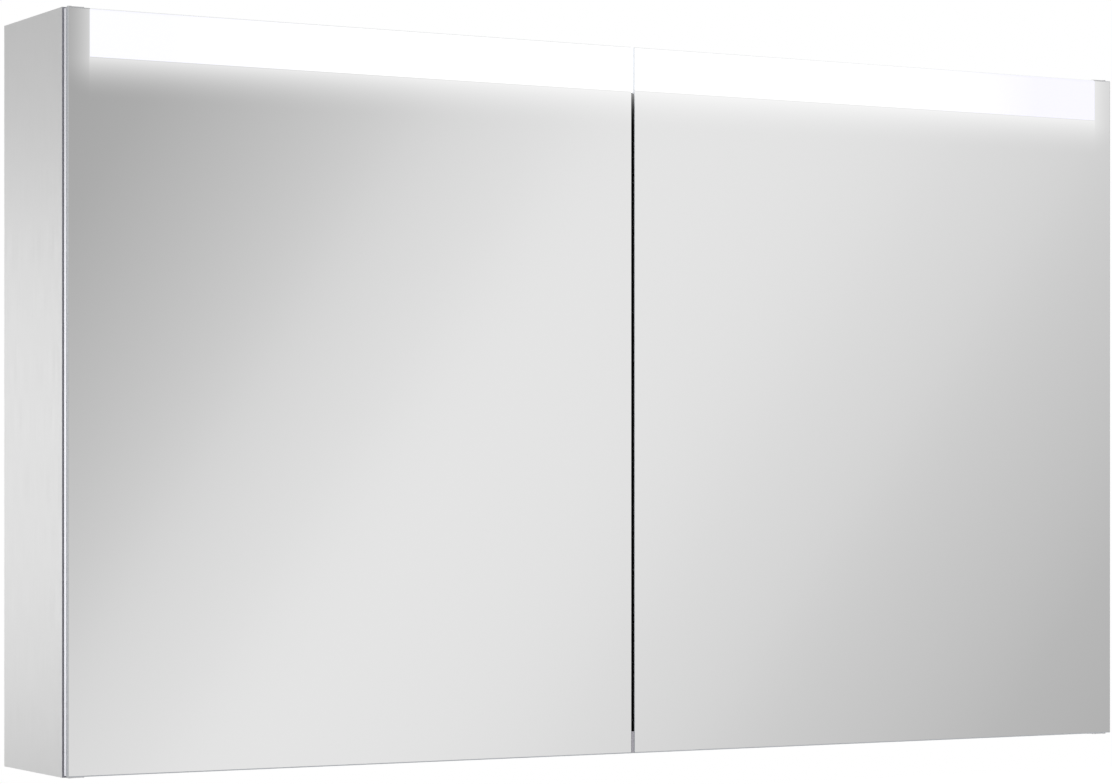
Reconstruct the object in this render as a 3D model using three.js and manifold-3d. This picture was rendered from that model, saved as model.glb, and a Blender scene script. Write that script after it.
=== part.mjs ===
// A wall-hung mirror cabinet: an aluminium body, two double-sided mirror doors on end pivots,
// and a light band behind the clear strip across the top of both doors.
//
// Millimetres. Facing the doors, +X is to the right, +Y runs back into the wall and +Z is up.
// The origin is the centre of the back, on the wall.
import * as THREE from "three";
import { mergeVertices } from "three/addons/utils/BufferGeometryUtils.js";
import Module from "manifold-3d";

// ---------------------------------------------------------------- driving dimensions

const WIDTH = 1200;
const HEIGHT = 702;
const DEPTH = 160; // wall to mirror face
const FIT = 0.3; // gap between pieces that touch

const FRONT_GLASS = 4; // front mirror pane
const FRAME_DEPTH = 5; // bars behind the front pane, with their glue gap
const DOOR_GAP = 5.2; // air between the doors and the body
const MEETING_GAP = 3.6; // air between the two doors
const DOOR_MARGIN = 1.5; // the doors stop short of the body, above and below
const STILE_WIDTH = 20;
const BOTTOM_RAIL = 22;
const TOP_RAIL = 18;
const INNER_GLASS = 4; // mirror pane set into the frame
const LIGHT_BAND = 44; // height of the clear strip, down from the door's top

const SIDE_WALL = 20; // shell and liner together
const SHEET = 1.5; // folded sheet of the side shells, liners and ceiling
const PANEL = 20; // top and bottom panels
const PROFILE_WALL = 1.8; // skins and webs of the hollow panels
const TOP_PANEL_DEPTH = 110;
const BACK_SHEET = 3;
const REAR_GLASS = 3; // mirrors on the inside of the back
const PARTITION = 16;
const SEAL_FOOT = 21; // height of the foot of the centre seal

const PIVOT_INSET = 4; // hinge axis in from the door's outer edge
const PIVOT_BACK = 2.6; // hinge axis forward of the door's back face
const PIN_RADIUS = 1.25;
const PIN_PLAY = 0.08; // air round the pin
const PIN_LENGTH = 8;
const BRACKET_PLATE = 2;
const BRACKET_HEIGHT = 36;

const SHELF_THICK = 5;
const SHELF_DEPTH = 112;
const SHELF_CORNER = 4;
const SHELF_LEVELS = 2;
const PEG_RADIUS = 2.1;
const PEG_HOLE_RADIUS = 2.5;
const PEG_PITCH = 32; // height between peg holes
const PEG_STEPS = 2; // spare holes above and below each shelf
const PEG_SPACING = 70; // front hole to back hole

const HANGER_WIDTH = 38;
const HANGER_HEIGHT = 64;
const HANGER_DEPTH = 26;
const HANGER_STEEL = 2.5;

const UNIT_WIDTH = 162; // power unit, with two sockets and the light's button
const UNIT_HEIGHT = 66;
const UNIT_DEPTH = 46;
const UNIT_WALL = 2;
const UNIT_PLATE = 3;
const SOCKET_WELL_RADIUS = 19.5;
const SOCKET_WELL_DEPTH = 17.5;
const SOCKET_BODY_RADIUS = 22;
const SOCKET_FLANGE_RADIUS = 25;
const SOCKET_FLANGE = 2;
const SOCKET_FLOOR = 3;
const SOCKET_PIN_SPACING = 19;
const SOCKET_PIN_RADIUS = 2.6;
const BUTTON_SIZE = 24;
const BUTTON_TRAVEL = 2;

const GLAND_RADIUS = 11;
const ENTRY_WIDTH = 82; // plate that carries the gland
const CABLE_RADIUS = 3.5;
const CABLE_HOLE_RADIUS = 7; // in the side liner, with room for the start of the bend
const CABLE_BEND = 14;

// ---------------------------------------------------------------- places worked out from them

const right = WIDTH / 2;
const top = HEIGHT / 2;
const bottom = -HEIGHT / 2;
const doorFront = -DEPTH;
const glassBack = doorFront + FRONT_GLASS;
const doorBack = glassBack + FRAME_DEPTH;
const bodyFront = doorBack + DOOR_GAP;
const doorTop = top - DOOR_MARGIN;
const doorBottom = bottom + DOOR_MARGIN;
const innerSide = right - SIDE_WALL; // inner face of a side wall
const bandBottom = doorTop - LIGHT_BAND;
const bandHeight = top - bandBottom - FIT; // of the light housing and its cover
const ceilingTop = bandBottom - FIT;
const ceiling = ceilingTop - SHEET; // underside of the ceiling
const floor = bottom + PANEL; // top of the bottom panel
const rearMirrorFront = -BACK_SHEET - FIT - REAR_GLASS;
const partitionSide = PARTITION / 2;
const partitionFront = bodyFront + 3;
const meetingEdge = MEETING_GAP / 2;
const pivotX = right - PIVOT_INSET;
const pivotY = doorBack - PIVOT_BACK;
const stileTop = top - BRACKET_PLATE - FIT; // under the pivot bracket's tongue
const pegBack = -DEPTH / 2 + 5 + PEG_SPACING / 2;
const pegFront = pegBack - PEG_SPACING;
const shelfBack = rearMirrorFront - 4;
const hangerTop = ceiling - 4;
const hangerX = innerSide - 3 - HANGER_WIDTH / 2;
const hangerEdge = hangerX - HANGER_WIDTH / 2 - 1.5; // side of the opening round the hanger
const hangerNotch = [hangerTop - HANGER_HEIGHT - 2, hangerTop + 2];
const upperBackZ = [hangerNotch[0] + FIT, top - PANEL - FIT];
const entryX = [hangerEdge - ENTRY_WIDTH, hangerEdge];
const glandX = hangerEdge - ENTRY_WIDTH / 2;
const unitRight = innerSide - 6;
const unitX = unitRight - UNIT_WIDTH / 2;
const unitZ = floor + FIT + UNIT_HEIGHT / 2;
const unitBack = rearMirrorFront - FIT;
const unitFront = unitBack - UNIT_DEPTH; // open front of the box
const plateFront = unitFront - FIT - UNIT_PLATE;
const cableX = right - SIDE_WALL / 2; // the cable runs down inside the right side wall
const cableY = -DEPTH / 2 + 20;
const voidMiddle = (ceilingTop + top - PANEL) / 2; // height of the wiring space over the ceiling
const cableExitZ = unitZ;
const cableExitY = (unitBack + unitFront) / 2;

// Heights of the shelves' undersides: they share the space between floor and ceiling evenly.
const shelfHeights = Array.from({ length: SHELF_LEVELS }, (_, level) => {
  const bay = (ceiling - floor - SHELF_LEVELS * SHELF_THICK) / (SHELF_LEVELS + 1);
  return floor + bay * (level + 1) + SHELF_THICK * level;
});
const levelNames = ["lower", "upper", "third", "fourth"];

// ---------------------------------------------------------------- materials

const finish = (color, roughness, metalness, extra = {}) =>
  new THREE.MeshStandardMaterial({ color, roughness, metalness, ...extra });
const aluminium = finish(0xc9cacc, 0.35, 1);
const sheetMetal = finish(0xd4d5d6, 0.4, 0.9);
const mirror = finish(0xe6e8ea, 0.03, 1);
const clearGlass = finish(0xdfeee9, 0.05, 0, { transparent: true, opacity: 0.35 });
const opal = finish(0xffffff, 0.5, 0, { emissive: 0xffffff });
const steel = finish(0xb4b6b9, 0.3, 1);
const blackRubber = finish(0x08080a, 0.8, 0);
const whitePlastic = finish(0xeeeeec, 0.45, 0);
const greyPlastic = finish(0x8c8f93, 0.5, 0);
const blackPlastic = finish(0x1b1c1e, 0.5, 0);
const circuitBoard = finish(0xf2f2ee, 0.6, 0);

// ---------------------------------------------------------------- geometry helpers

const wasm = await Module();
wasm.setup();

// A closed three.js geometry as a manifold solid.
function solid(geometry) {
  const loose = geometry.index ? geometry.toNonIndexed() : geometry;
  const points = new THREE.BufferGeometry();
  points.setAttribute("position", loose.getAttribute("position"));
  const merged = mergeVertices(points, 1e-4);
  const mesh = new wasm.Mesh({
    numProp: 3,
    vertProperties: merged.getAttribute("position").array,
    triVerts: new Uint32Array(merged.index.array),
  });
  return new wasm.Manifold(mesh);
}

// A manifold solid as a three.js geometry.
function geometryOf(body) {
  const mesh = body.getMesh();
  const geometry = new THREE.BufferGeometry();
  geometry.setAttribute("position", new THREE.BufferAttribute(mesh.vertProperties, 3));
  geometry.setIndex(new THREE.BufferAttribute(mesh.triVerts, 1));
  geometry.computeVertexNormals();
  return geometry;
}

function join(first, ...others) {
  return geometryOf(others.reduce((sum, next) => sum.add(solid(next)), solid(first)));
}

function cut(blank, ...tools) {
  return geometryOf(tools.reduce((left, tool) => left.subtract(solid(tool)), solid(blank)));
}

// A box between [low, high] limits on each axis.
function block(x, y, z) {
  const limits = [x, y, z];
  const box = new THREE.BoxGeometry(...limits.map(([low, high]) => high - low));
  return box.translate(...limits.map(([low, high]) => (low + high) / 2));
}

// A rod centred on a point, along the axis named "x", "y" or "z".
function rod(axis, radius, length, [x, y, z], sides = 16) {
  const cylinder = new THREE.CylinderGeometry(radius, radius, length, sides);
  if (axis === "x") cylinder.rotateZ(Math.PI / 2);
  if (axis === "z") cylinder.rotateX(Math.PI / 2);
  return cylinder.translate(x, y, z);
}

// An outline in Y and Z, extruded along X and centred on x = 0.
function profileAlongX(shape, length) {
  const bar = new THREE.ExtrudeGeometry(shape, { depth: length, bevelEnabled: false });
  return bar.rotateX(Math.PI / 2).rotateZ(Math.PI / 2).translate(-length / 2, 0, 0);
}

function outline(points) {
  return new THREE.Shape(points.map(([u, v]) => new THREE.Vector2(u, v)));
}

// A hollow flat profile: cells run along the axis named "x" or "z", with webs between them in Y.
function hollowPanel(axis, x, y, z, cells) {
  const cellDepth = (y[1] - y[0] - PROFILE_WALL * (cells + 1)) / cells;
  const inset = ([low, high]) => [low + PROFILE_WALL, high - PROFILE_WALL];
  const through = ([low, high]) => [low - 1, high + 1];
  const cores = Array.from({ length: cells }, (_, i) => {
    const start = y[0] + PROFILE_WALL + i * (cellDepth + PROFILE_WALL);
    const span = [start, start + cellDepth];
    return axis === "x" ? block(through(x), span, inset(z)) : block(inset(x), span, through(z));
  });
  return cut(block(x, y, z), ...cores);
}

function piece(name, geometry, material, x = 0, y = 0, z = 0) {
  const mesh = new THREE.Mesh(geometry, material);
  mesh.name = name;
  mesh.position.set(x, y, z);
  return mesh;
}

// Rods for the peg holes beside every shelf, through a wall at the given x.
function pegHoles(x, length) {
  const holes = [];
  for (const height of shelfHeights) {
    for (let step = -PEG_STEPS; step <= PEG_STEPS; step++) {
      for (const y of [pegFront, pegBack]) {
        const z = height - 5 + step * PEG_PITCH;
        holes.push(rod("x", PEG_HOLE_RADIUS, length, [x, y, z], 8));
      }
    }
  }
  return holes;
}

// ---------------------------------------------------------------- body

// The outer skin of a side wall: a folded tray, open towards the inside.
function sideShell() {
  const outer = block([innerSide, right], [bodyFront, 0], [bottom, top]);
  const inside = block(
    [innerSide - 1, right - SHEET],
    [bodyFront + SHEET, -SHEET],
    [bottom + SHEET, top - SHEET],
  );
  return cut(outer, inside);
}

// The inner skin of a side wall, with the peg holes for the shelves and a way through for the cable.
function sideLiner(withCable) {
  const rim = SHEET + FIT;
  const sheet = block(
    [innerSide, innerSide + SHEET],
    [bodyFront + rim, -rim],
    [bottom + rim, top - rim],
  );
  const holes = pegHoles(innerSide + SHEET / 2, 3 * SHEET);
  if (withCable) {
    holes.push(rod("x", CABLE_HOLE_RADIUS, 10, [innerSide, cableY, voidMiddle]));
    holes.push(rod("x", CABLE_HOLE_RADIUS, 10, [innerSide, cableExitY, cableExitZ]));
  }
  return cut(sheet, ...holes);
}

function bottomPanel() {
  const edge = innerSide - FIT;
  return hollowPanel("x", [-edge, edge], [bodyFront, 0], [bottom, floor], 4);
}

function topPanel() {
  const edge = innerSide - FIT;
  return hollowPanel("x", [-edge, edge], [-TOP_PANEL_DEPTH, 0], [top - PANEL, top], 3);
}

// The lower sheet of the back, up to the wall hangers.
function backPanel() {
  const edge = innerSide - FIT;
  return block([-edge, edge], [-BACK_SHEET, 0], [floor + FIT, hangerNotch[0]]);
}

// The upper sheet of the back, from the left wall hanger to the cable entry.
function backRail() {
  return block([-hangerEdge, entryX[0] - FIT], [-BACK_SHEET, 0], upperBackZ);
}

// A mirror on the inside of the back, from the partition to the wall hanger.
function rearMirror() {
  const mirrorX = [partitionSide + FIT, hangerEdge - FIT];
  return block(mirrorX, [0, REAR_GLASS], [floor + 2 * FIT, ceiling - FIT]);
}

function ceilingPanel() {
  const edge = innerSide - FIT;
  return block([-edge, edge], [bodyFront + FIT, rearMirrorFront], [ceiling, ceilingTop]);
}

// The upright between the two halves: a hollow profile with peg holes through both skins.
function centrePartition() {
  const y = [partitionFront, -BACK_SHEET - FIT];
  const z = [floor + FIT, ceiling - FIT];
  const upright = hollowPanel("z", [-partitionSide, partitionSide], y, z, 4);
  return cut(upright, ...pegHoles(0, PARTITION + 2));
}

const finHalf = meetingEdge - FIT;
const finFront = doorFront + 0.4;
const footTop = doorBottom + FIT + SEAL_FOOT;

// A T-section strip on the partition's front edge. Its fin stands in the gap between the doors.
function partitionSeal() {
  const flange = doorBack + 1.2 - (partitionFront - FIT);
  const fin = finHalf;
  const wide = partitionSide - 1;
  const backFace = partitionFront - FIT;
  const step = backFace + flange;
  const points = [
    [-wide, backFace], [-wide, step], [-fin, step], [-fin, finFront],
    [fin, finFront], [fin, step], [wide, step], [wide, backFace],
  ];
  const low = footTop + FIT;
  const height = ceiling - FIT - low;
  return new THREE.ExtrudeGeometry(outline(points), { depth: height, bevelEnabled: false })
    .translate(0, 0, low);
}

// A grey plate on the bottom panel's front edge, with the same fin as the seal over it.
function sealFoot() {
  const plate = block([-10, 10], [bodyFront - 1.5, bodyFront], [bottom + 2, floor - 2]);
  const finZ = [doorBottom + FIT, footTop];
  const fin = block([-finHalf, finHalf], [finFront, bodyFront - 1], finZ);
  return join(plate, fin);
}

// ---------------------------------------------------------------- light

// A channel that makes the front of the cabinet's top, open to the front.
function lightHousing() {
  const depth = -TOP_PANEL_DEPTH - FIT - bodyFront;
  const height = bandHeight;
  const wall = PROFILE_WALL;
  const shape = outline([
    [0, 0], [depth, 0], [depth, height], [0, height],
    [0, height - wall], [depth - wall, height - wall], [depth - wall, wall], [0, wall],
  ]);
  return profileAlongX(shape, 2 * (innerSide - FIT));
}

// The opal cover: a front plate with two legs that clip into the channel.
function lightDiffuser() {
  const height = bandHeight;
  const plate = 2.7;
  const legStart = PROFILE_WALL + FIT;
  const leg = 1.5;
  const reach = plate + 8;
  const shape = outline([
    [0, 0], [plate, 0], [plate, legStart], [reach, legStart], [reach, legStart + leg],
    [plate, legStart + leg], [plate, height - legStart - leg], [reach, height - legStart - leg],
    [reach, height - legStart], [plate, height - legStart], [plate, height], [0, height],
  ]);
  return profileAlongX(shape, 2 * (innerSide - FIT)).translate(0, -plate - FIT, 0);
}

// A long circuit board with a row of LEDs on its front.
function ledStrip() {
  const length = 2 * innerSide - 40;
  const pitch = 25;
  const count = Math.floor((length - pitch) / pitch);
  const board = block([-length / 2, length / 2], [0, 1.6], [-6, 6]);
  const leds = Array.from({ length: count }, (_, i) => {
    const x = (i - (count - 1) / 2) * pitch;
    return block([x - 1.75, x + 1.75], [-0.8, 0.4], [-1.4, 1.4]);
  });
  return join(board, ...leds);
}

// The LED power supply: a case with a fixing tab at each end.
function ledDriver() {
  const length = 210;
  const height = Math.min(18, top - PANEL - ceilingTop - 3);
  const body = block([-length / 2, length / 2], [-20, 20], [0, height]);
  const tabs = block([-length / 2 - 14, length / 2 + 14], [-12, 12], [0, 2]);
  const holes = [-1, 1].map((side) => rod("z", 2.2, 8, [side * (length / 2 + 7), 0, 1], 12));
  return cut(join(body, tabs), ...holes);
}

function junctionBox() {
  const height = Math.min(19, top - PANEL - ceilingTop - 2.5);
  const body = block([-34, 34], [-24, 24], [0, height]);
  const lid = block([-35.5, 35.5], [-25.5, 25.5], [height - 4, height - 1]);
  return join(body, lid);
}

// The plate that fills the back between the upper sheet and the right hanger, with a cable gland.
function cableEntry() {
  const plate = block(entryX, [-BACK_SHEET, 0], upperBackZ);
  const body = rod("y", GLAND_RADIUS, 12, [glandX, -BACK_SHEET - 5, voidMiddle], 6);
  const dome = rod("y", GLAND_RADIUS - 2.5, 20, [glandX, -BACK_SHEET - 9, voidMiddle]);
  const bore = rod("y", CABLE_RADIUS + 1.1, 60, [glandX, 0, voidMiddle]);
  return cut(join(plate, body, dome), bore);
}

// ---------------------------------------------------------------- hinges, shelves and hangers

// An upper pivot bracket for the right door, in the cabinet's own frame: a flange on the side
// wall's front edge and a tongue over the door's outer stile, with the pin riveted into it.
function pivotBracket() {
  const backFace = bodyFront - FIT;
  const tongue = [top - BRACKET_PLATE, top];
  const near = innerSide + 1.5;
  const flange = block(
    [near, pivotX - 5], [backFace - 2.3, backFace], [top - BRACKET_HEIGHT, tongue[1]],
  );
  const arm = block([near, pivotX + 0.3], [pivotY, backFace], tongue);
  const eyeRadius = pivotY - glassBack - FIT;
  const eye = rod("z", eyeRadius, BRACKET_PLATE, [pivotX, pivotY, (tongue[0] + tongue[1]) / 2]);
  const pinTop = top - BRACKET_PLATE / 2;
  const pinHeight = PIN_LENGTH + BRACKET_PLATE / 2;
  const pin = rod("z", PIN_RADIUS, pinHeight, [pivotX, pivotY, pinTop - pinHeight / 2]);
  return join(flange, arm, eye, pin);
}

function shelf() {
  const x = [partitionSide + 2 * FIT + 2, innerSide - 2 * FIT - 2];
  const y = [shelfBack - SHELF_DEPTH, shelfBack];
  const r = SHELF_CORNER;
  const shape = new THREE.Shape();
  shape.moveTo(x[0] + r, y[0]);
  shape.lineTo(x[1] - r, y[0]);
  shape.absarc(x[1] - r, y[0] + r, r, -Math.PI / 2, 0, false);
  shape.lineTo(x[1], y[1] - r);
  shape.absarc(x[1] - r, y[1] - r, r, 0, Math.PI / 2, false);
  shape.lineTo(x[0] + r, y[1]);
  shape.absarc(x[0] + r, y[1] - r, r, Math.PI / 2, Math.PI, false);
  shape.lineTo(x[0], y[0] + r);
  shape.absarc(x[0] + r, y[0] + r, r, Math.PI, 1.5 * Math.PI, false);
  return new THREE.ExtrudeGeometry(shape, {
    depth: SHELF_THICK, bevelEnabled: false, curveSegments: 4,
  });
}

// A shelf rail for a wall on its +X side, with x = 0 on the wall and z = 0 under the shelf.
function shelfRail() {
  const plate = block([-FIT - 2, -FIT], [pegFront - 8, pegBack + 8], [-10, 4]);
  const lip = block([-12, -FIT - 1], [pegFront - 8, pegBack + 8], [-FIT - 2, -FIT]);
  const pegs = [pegFront, pegBack].map((y) => rod("x", PEG_RADIUS, 5, [1.7, y, -5], 8));
  return join(plate, lip, ...pegs);
}

// A steel hanger that drops over a hook on the wall: open to the back and underneath.
function wallHanger() {
  const half = HANGER_WIDTH / 2;
  const outer = block([-half, half], [-HANGER_DEPTH, 0], [-HANGER_HEIGHT, 0]);
  const inside = block(
    [-half + HANGER_STEEL, half - HANGER_STEEL],
    [-HANGER_DEPTH + HANGER_STEEL, 1],
    [-HANGER_HEIGHT - 1, -HANGER_STEEL],
  );
  const screws = [-16, -46].map((z) => rod("y", 4, 3, [0, -HANGER_DEPTH - 1, z], 12));
  return join(cut(outer, inside), ...screws);
}

// A magnet in a case beside the partition. The front face meets the strike plate on the door.
function magnetCatch() {
  const low = partitionSide + FIT;
  const front = doorBack + 2;
  const body = block([low, low + 11], [front + 2, front + 28], [-14, 14]);
  const magnet = block([low + 2, low + 9], [front, front + 3], [-10, 10]);
  return join(body, magnet);
}

function strikePlate() {
  return rod("y", 5, 1, [partitionSide + FIT + 5.5, doorBack + FIT + 0.5, 0]);
}

// ---------------------------------------------------------------- power unit

// A tray on the back wall, open to the front, with a hole in its side for the cable.
function powerUnitBox() {
  const half = UNIT_WIDTH / 2;
  const tall = UNIT_HEIGHT / 2;
  const outer = block([-half, half], [-UNIT_DEPTH, 0], [-tall, tall]);
  const inside = block(
    [-half + UNIT_WALL, half - UNIT_WALL],
    [-UNIT_DEPTH - 1, -UNIT_WALL],
    [-tall + UNIT_WALL, tall - UNIT_WALL],
  );
  const entry = rod("x", CABLE_RADIUS + 1, 10, [half, -UNIT_DEPTH / 2, 0]);
  return cut(outer, inside, entry);
}

const socketXs = [-UNIT_WIDTH / 2 + 29, -UNIT_WIDTH / 2 + 29 + 2 * SOCKET_FLANGE_RADIUS + 4];
const buttonX = UNIT_WIDTH / 2 - 10 - BUTTON_SIZE / 2;

function powerUnitPlate() {
  const half = UNIT_WIDTH / 2;
  const tall = UNIT_HEIGHT / 2;
  const button = BUTTON_SIZE / 2 + 0.5;
  const plate = block([-half, half], [0, UNIT_PLATE], [-tall, tall]);
  const round = socketXs.map((x) => {
    return rod("y", SOCKET_BODY_RADIUS + FIT, 4 * UNIT_PLATE, [x, 0, 0], 32);
  });
  const square = block([buttonX - button, buttonX + button], [-9, 9], [-button, button]);
  return cut(plate, ...round, square);
}

// A round socket along Y, with its flange's front face at y = 0 and the well behind it.
function socketInsert() {
  const floorBack = SOCKET_WELL_DEPTH + SOCKET_FLOOR;
  const profile = [
    [0, floorBack], [SOCKET_BODY_RADIUS, floorBack], [SOCKET_BODY_RADIUS, SOCKET_FLANGE],
    [SOCKET_FLANGE_RADIUS, SOCKET_FLANGE], [SOCKET_FLANGE_RADIUS, 0],
    [SOCKET_WELL_RADIUS, 0], [SOCKET_WELL_RADIUS, SOCKET_WELL_DEPTH], [0, SOCKET_WELL_DEPTH],
  ];
  const points = profile.map(([r, y]) => new THREE.Vector2(r, y)).reverse();
  const body = new THREE.LatheGeometry(points, 32);
  const pins = [-1, 1].map((side) => {
    const x = (side * SOCKET_PIN_SPACING) / 2;
    return rod("y", SOCKET_PIN_RADIUS, 20, [x, SOCKET_WELL_DEPTH, 0], 12);
  });
  return cut(body, ...pins);
}

// The push button for the light, standing out of the plate by more than its travel.
function switchButton() {
  const half = BUTTON_SIZE / 2;
  const cap = block([-half, half], [-BUTTON_TRAVEL - 1.5, 5], [-half, half]);
  const plunger = rod("y", 4, 10, [0, 9, 0]);
  return join(cap, plunger);
}

// The cable from the junction box, down inside the right side wall, to the power unit.
function powerCable() {
  const start = new THREE.Vector3(glandX + 36, cableY, voidMiddle);
  const high = new THREE.Vector3(cableX, cableY, voidMiddle);
  const low = new THREE.Vector3(cableX, cableY, cableExitZ);
  const turn = new THREE.Vector3(cableX, cableExitY, cableExitZ);
  const end = new THREE.Vector3(unitRight - UNIT_WALL - 4, cableExitY, cableExitZ);
  const corners = [start, high, low, turn, end];
  const route = new THREE.CurvePath();
  let from = start;
  for (let i = 1; i < corners.length - 1; i++) {
    const before = corners[i - 1].clone().sub(corners[i]);
    const after = corners[i + 1].clone().sub(corners[i]);
    const bend = Math.min(CABLE_BEND, 0.45 * before.length(), 0.45 * after.length());
    const enter = corners[i].clone().add(before.setLength(bend));
    const leave = corners[i].clone().add(after.setLength(bend));
    route.add(new THREE.LineCurve3(from, enter));
    route.add(new THREE.QuadraticBezierCurve3(enter, corners[i], leave));
    from = leave;
  }
  route.add(new THREE.LineCurve3(from, end));
  const section = new THREE.Shape().absarc(0, 0, CABLE_RADIUS, 0, 2 * Math.PI, false);
  return new THREE.ExtrudeGeometry(section, { extrudePath: route, steps: 80, curveSegments: 4 });
}

// ---------------------------------------------------------------- doors

// The right door's pieces, in the cabinet's frame. The left door mirrors them.
function doorPieces(side) {
  const barY = [glassBack + FIT, doorBack];
  const outerX = [right - STILE_WIDTH, right];
  const innerX = [meetingEdge, meetingEdge + STILE_WIDTH];
  const railX = [innerX[1] + FIT, outerX[0] - FIT];
  const topRailTop = bandBottom - 1.5;
  const paneZ = [doorBottom + BOTTOM_RAIL + FIT, topRailTop - TOP_RAIL - FIT];
  const boreRadius = PIN_RADIUS + PIN_PLAY;
  const boreLength = PIN_LENGTH + FIT;
  const bores = [1, -1].map((end) => {
    return rod("z", boreRadius, 2 * boreLength, [pivotX, pivotY, end * stileTop]);
  });
  return [
    piece(
      side + "_front_mirror",
      block([meetingEdge, right], [doorFront, glassBack], [doorBottom, doorTop]),
      mirror,
    ),
    piece(
      side + "_outer_stile",
      cut(block(outerX, barY, [-stileTop, stileTop]), ...bores),
      aluminium,
    ),
    piece(side + "_meeting_stile", block(innerX, barY, [doorBottom, topRailTop]), aluminium),
    piece(
      side + "_bottom_rail",
      block(railX, barY, [doorBottom, doorBottom + BOTTOM_RAIL]),
      aluminium,
    ),
    piece(
      side + "_top_rail",
      block(railX, barY, [topRailTop - TOP_RAIL, topRailTop]),
      aluminium,
    ),
    piece(
      side + "_inner_mirror",
      block(railX, [doorBack - FIT - INNER_GLASS, doorBack - FIT], paneZ),
      mirror,
    ),
    piece(side + "_strike_plate", strikePlate(), steel),
  ];
}

// ---------------------------------------------------------------- assembly

// Everything that the cabinet has once on each side, built for the right side.
function sidePieces(side) {
  const group = new THREE.Group();
  group.add(
    piece(side + "_side_shell", sideShell(), sheetMetal),
    piece(side + "_side_liner", sideLiner(side === "right"), sheetMetal),
    piece(side + "_rear_mirror", rearMirror(), mirror, 0, rearMirrorFront, 0),
    piece(side + "_wall_hanger", wallHanger(), steel, hangerX, 0, hangerTop),
    piece(side + "_magnet_catch", magnetCatch(), greyPlastic),
    piece(side + "_upper_pivot", pivotBracket(), steel),
    ...doorPieces(side),
  );
  const lowerPivot = piece(side + "_lower_pivot", pivotBracket(), steel);
  lowerPivot.scale.z = -1;
  group.add(lowerPivot);
  shelfHeights.forEach((height, level) => {
    const name = side + "_" + levelNames[level];
    const inner = piece(name + "_inner_rail", shelfRail(), steel, partitionSide, 0, height);
    inner.scale.x = -1;
    group.add(
      piece(name + "_shelf", shelf(), clearGlass, 0, 0, height),
      piece(name + "_outer_rail", shelfRail(), steel, innerSide, 0, height),
      inner,
    );
  });
  group.scale.x = side === "left" ? -1 : 1;
  return group;
}

function powerUnit() {
  const group = new THREE.Group();
  const plateBack = plateFront + UNIT_PLATE;
  group.add(
    piece("power_unit_box", powerUnitBox(), whitePlastic, 0, unitBack, 0),
    piece("power_unit_plate", powerUnitPlate(), whitePlastic, 0, plateBack - UNIT_PLATE, 0),
    piece("light_button", switchButton(), greyPlastic, buttonX, plateFront, 0),
  );
  ["left_socket", "right_socket"].forEach((name, i) => {
    const y = plateFront - FIT - SOCKET_FLANGE;
    group.add(piece(name, socketInsert(), whitePlastic, socketXs[i], y, 0));
  });
  group.position.set(unitX, 0, unitZ);
  return group;
}

const cabinet = new THREE.Group();
cabinet.add(
  piece("bottom_panel", bottomPanel(), aluminium),
  piece("top_panel", topPanel(), aluminium),
  piece("back_panel", backPanel(), sheetMetal),
  piece("back_rail", backRail(), sheetMetal),
  piece("ceiling_panel", ceilingPanel(), sheetMetal),
  piece("centre_partition", centrePartition(), aluminium),
  piece("partition_seal", partitionSeal(), blackRubber),
  piece("seal_foot", sealFoot(), greyPlastic),
  piece("light_housing", lightHousing(), aluminium, 0, bodyFront, bandBottom + FIT),
  piece("light_diffuser", lightDiffuser(), opal, 0, bodyFront, bandBottom + FIT),
  piece("led_strip", ledStrip(), circuitBoard, 0, -TOP_PANEL_DEPTH - 4, doorTop - LIGHT_BAND / 2),
  piece("led_driver", ledDriver(), whitePlastic, 0, -55, ceilingTop + FIT),
  piece("junction_box", junctionBox(), whitePlastic, glandX, -52, ceilingTop + FIT),
  piece("cable_entry", cableEntry(), blackPlastic),
  piece("power_cable", powerCable(), blackPlastic),
  sidePieces("left"),
  sidePieces("right"),
  powerUnit(),
);

export default cabinet;
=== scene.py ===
"""Looks for the mirror cabinet: materials, fine pieces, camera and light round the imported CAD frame."""

import math

import bmesh
import bpy
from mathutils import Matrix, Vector


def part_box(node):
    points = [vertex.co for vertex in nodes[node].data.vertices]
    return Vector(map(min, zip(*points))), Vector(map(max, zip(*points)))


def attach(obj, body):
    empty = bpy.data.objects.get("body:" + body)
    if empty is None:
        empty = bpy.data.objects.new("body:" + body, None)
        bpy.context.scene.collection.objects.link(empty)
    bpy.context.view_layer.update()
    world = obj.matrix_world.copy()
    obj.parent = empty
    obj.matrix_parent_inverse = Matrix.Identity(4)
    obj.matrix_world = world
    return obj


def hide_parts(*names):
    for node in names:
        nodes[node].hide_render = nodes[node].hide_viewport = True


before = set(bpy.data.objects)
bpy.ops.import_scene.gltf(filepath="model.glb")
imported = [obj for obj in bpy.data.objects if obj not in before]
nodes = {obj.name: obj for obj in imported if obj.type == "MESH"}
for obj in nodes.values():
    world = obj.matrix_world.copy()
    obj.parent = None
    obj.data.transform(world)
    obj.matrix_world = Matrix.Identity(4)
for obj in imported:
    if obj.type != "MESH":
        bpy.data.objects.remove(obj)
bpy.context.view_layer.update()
MM = 0.001
OUTWARD = {"left": -1, "right": 1}  # which way along X each door's outer edge lies

# ---------------------------------------------------------------- sizes of the painted areas

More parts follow.
